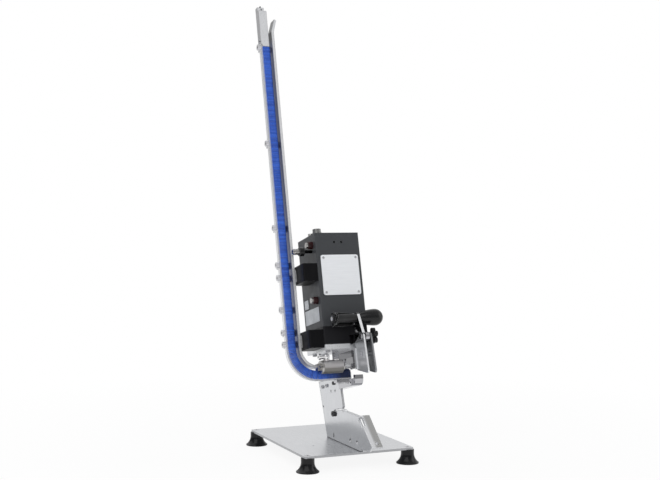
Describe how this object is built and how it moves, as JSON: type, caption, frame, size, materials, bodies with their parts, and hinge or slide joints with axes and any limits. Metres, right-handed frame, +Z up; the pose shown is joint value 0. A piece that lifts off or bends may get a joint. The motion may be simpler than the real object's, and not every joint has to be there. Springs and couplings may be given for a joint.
{
  "type": "sausage clipper",
  "caption": "Table-top pneumatic clipper that closes U-clips on sausage casings: leaning body, curved clip rail, hand lever with grip, folded stand on a suction-foot base.",
  "frame": {"origin": "middle of the base plate, on the table plane under the suction feet", "axes": "+X to the operator's right, +Y to the back, +Z up; the machine leans 13.6 degrees back about X"},
  "size_m": [0.2464, 0.35, 0.838],
  "materials": {
    "base_stainless": "brushed stainless sheet",
    "stand_stainless": "polished stainless sheet",
    "rail_metal": "satin",
    "machined_steel": "ground",
    "housing_grey": "satin dark grey",
    "black_paint": "satin black",
    "black_rubber": "matt",
    "black_plastic": "fine grain",
    "clip_coating": "blue coated wire",
    "fastener_steel": "zinc plated",
    "dark_steel": "blackened",
    "nickel": "nickel plated",
    "collar_red": "dark red",
    "barrel_grey": "anodised warm grey",
    "plate_silver": "fine brushed"
  },
  "bodies": {
    "machine": {"base_plate": "base_stainless", "stand_bracket": "stand_stainless", "outer_rail": "rail_metal", "inner_rail": "rail_metal", "rail_ties": "rail_metal", "rail_spacers": "rail_metal", "flange_plate": "rail_metal", "c_frame": "machined_steel", "die": "machined_steel", "punch_guide": "machined_steel", "body_housing": "housing_grey", "housing_lid": "housing_grey", "lower_head": "black_paint", "upper_rail_block": "black_paint", "lower_rail_block": "black_paint", "foot_front_left": "black_rubber", "foot_front_right": "black_rubber", "foot_back_left": "black_rubber", "foot_back_right": "black_rubber", "inlet_collar": "black_plastic", "clip_stack": "clip_coating", "foot_screws": "fastener_steel", "stand_foot_bolts": "fastener_steel", "nameplate_screws": "fastener_steel", "rail_screws": "fastener_steel", "bracket_screws": "fastener_steel", "pivot_pin": "fastener_steel", "stand_bolts": "dark_steel", "flange_bolts": "dark_steel", "lid_screws": "dark_steel", "rail_support": "dark_steel", "pivot_bracket": "dark_steel", "feed_end_cap": "dark_steel", "air_inlet": "nickel", "top_silencer": "nickel", "top_plug": "nickel", "feed_post": "nickel", "feed_elbow": "nickel", "upper_button_collar": "collar_red", "lower_button_collar": "collar_red", "feed_cylinder": "barrel_grey", "nameplate": "plate_silver"},
    "lever": {"hand_lever": "stand_stainless", "right_cheek": "stand_stainless", "cheek_spacer": "machined_steel", "handle_sleeve": "black_plastic", "handle_bolt": "fastener_steel", "handle_nut": "fastener_steel"},
    "grip": {"grip": "black_plastic"},
    "star_knob": {"star_knob": "black_plastic"},
    "ram": {"piston": "machined_steel", "piston_seal": "black_rubber", "piston_rod": "machined_steel", "crosshead": "machined_steel", "punch": "machined_steel"},
    "feed_rod": {"feed_rod": "nickel"},
    "follower": {"follower_weight": "rail_metal", "follower_pin": "dark_steel"},
    "upper_button": {"upper_button": "nickel"},
    "lower_button": {"lower_button": "nickel"}
  },
  "joints": [
    {"name": "lever_swing", "type": "hinge", "parent": "machine", "child": "lever", "pos_m": [-0.001, -0.17215, 0.2377], "axis": [1, 0, 0], "range_deg": [0, 30]},
    {"name": "grip_turn", "type": "hinge", "parent": "lever", "child": "grip", "pos_m": [0.015, -0.14914, 0.26815], "axis": [1, 0, 0], "continuous": true},
    {"name": "knob_turn", "type": "hinge", "parent": "machine", "child": "star_knob", "pos_m": [0.008, -0.17215, 0.2377], "axis": [1, 0, 0], "continuous": true},
    {"name": "ram_slide", "type": "slide", "parent": "machine", "child": "ram", "axis": [0, -0.2351, -0.972], "range_m": [0, 0.017]},
    {"name": "feed_slide", "type": "slide", "parent": "machine", "child": "feed_rod", "axis": [1, 0, 0], "range_m": [0, 0.006]},
    {"name": "follower_lift", "type": "slide", "parent": "machine", "child": "follower", "axis": [0, 0.2351, 0.972], "range_m": [0, 0.05]},
    {"name": "upper_button_press", "type": "slide", "parent": "machine", "child": "upper_button", "axis": [1, 0, 0], "range_m": [0, 0.003], "stiffness_N_per_m": 500, "springref_m": -0.003},
    {"name": "lower_button_press", "type": "slide", "parent": "machine", "child": "lower_button", "axis": [1, 0, 0], "range_m": [0, 0.003], "stiffness_N_per_m": 500, "springref_m": -0.003}
  ]
}
